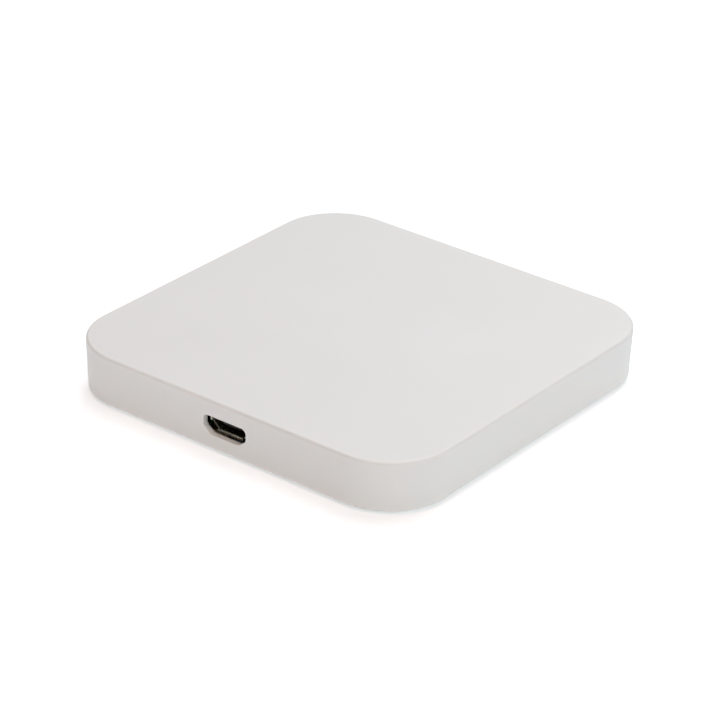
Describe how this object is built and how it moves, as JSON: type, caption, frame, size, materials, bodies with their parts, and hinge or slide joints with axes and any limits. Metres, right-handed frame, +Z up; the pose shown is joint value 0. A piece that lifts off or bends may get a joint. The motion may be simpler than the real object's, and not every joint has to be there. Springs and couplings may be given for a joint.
{
  "type": "smart home hub",
  "caption": "Thin white rounded-square desktop radio hub with a micro-USB power socket in one side and a small pairing button between two light windows in the opposite side.",
  "frame": {"origin": "the middle of the plane that the four feet stand on", "axes": "+Z up, away from the surface it stands on; -Y out of the micro-USB socket; +Y out of the pairing button; +X to the right when the socket faces the viewer"},
  "size_m": [0.07, 0.07, 0.0093],
  "materials": {
    "case_plastic": "white moulded plastic with a fine satin texture",
    "foot_rubber": "dark grey soft rubber",
    "screw_steel": "zinc-plated steel",
    "label_film": "blank matt silver-grey label",
    "board_green": "green solder mask on glass-fibre board",
    "board_blue": "dark blue solder mask on glass-fibre board",
    "socket_steel": "nickel-plated stamped steel",
    "contact_gold": "gold-plated copper alloy",
    "chip_black": "black moulded resin",
    "fuse_green": "green coated polymer fuse",
    "tantalum_yellow": "ochre moulded resin",
    "ferrite": "dark sintered ferrite",
    "resistor_ceramic": "black glazed film on ceramic",
    "capacitor_ceramic": "tan fired ceramic",
    "shield_steel": "tin-plated sheet steel",
    "led_resin": "pale yellow resin in a white body",
    "clear_plastic": "frosted clear plastic",
    "plunger_grey": "grey moulded plastic"
  },
  "bodies": {
    "housing": {"top_shell": "case_plastic", "base_plate": "case_plastic", "foot_front_left": "foot_rubber", "foot_front_right": "foot_rubber", "foot_rear_left": "foot_rubber", "foot_rear_right": "foot_rubber", "case_screws": "screw_steel", "rating_label": "label_film", "main_board": "board_green", "board_screws": "screw_steel", "usb_shell": "socket_steel", "usb_tongue": "chip_black", "usb_contacts": "contact_gold", "input_fuse": "fuse_green", "surge_clamp": "chip_black", "input_capacitor": "tantalum_yellow", "buck_converter": "chip_black", "power_inductor": "ferrite", "output_capacitor": "tantalum_yellow", "flash_chip": "chip_black", "signal_transistors": "chip_black", "chip_resistors": "resistor_ceramic", "chip_capacitors": "capacitor_ceramic", "wifi_board": "board_blue", "wifi_chip": "chip_black", "wifi_crystal": "shield_steel", "wifi_shield": "shield_steel", "wifi_antenna": "contact_gold", "mesh_board": "board_blue", "mesh_chip": "chip_black", "mesh_crystal": "shield_steel", "mesh_shield": "shield_steel", "mesh_antenna": "contact_gold", "power_led": "led_resin", "network_led": "led_resin", "power_light_pipe": "clear_plastic", "network_light_pipe": "clear_plastic", "switch_base": "chip_black", "switch_frame": "shield_steel", "snap_dome": "shield_steel"},
    "pair_button": {"button_cap": "case_plastic", "switch_plunger": "plunger_grey"}
  },
  "joints": [
    {"name": "pair_button_press", "type": "slide", "parent": "housing", "child": "pair_button", "axis": [0, -1, 0], "range_m": [0, 0.0003], "stiffness_N_per_m": 1500, "deforming": ["snap_dome"]}
  ]
}
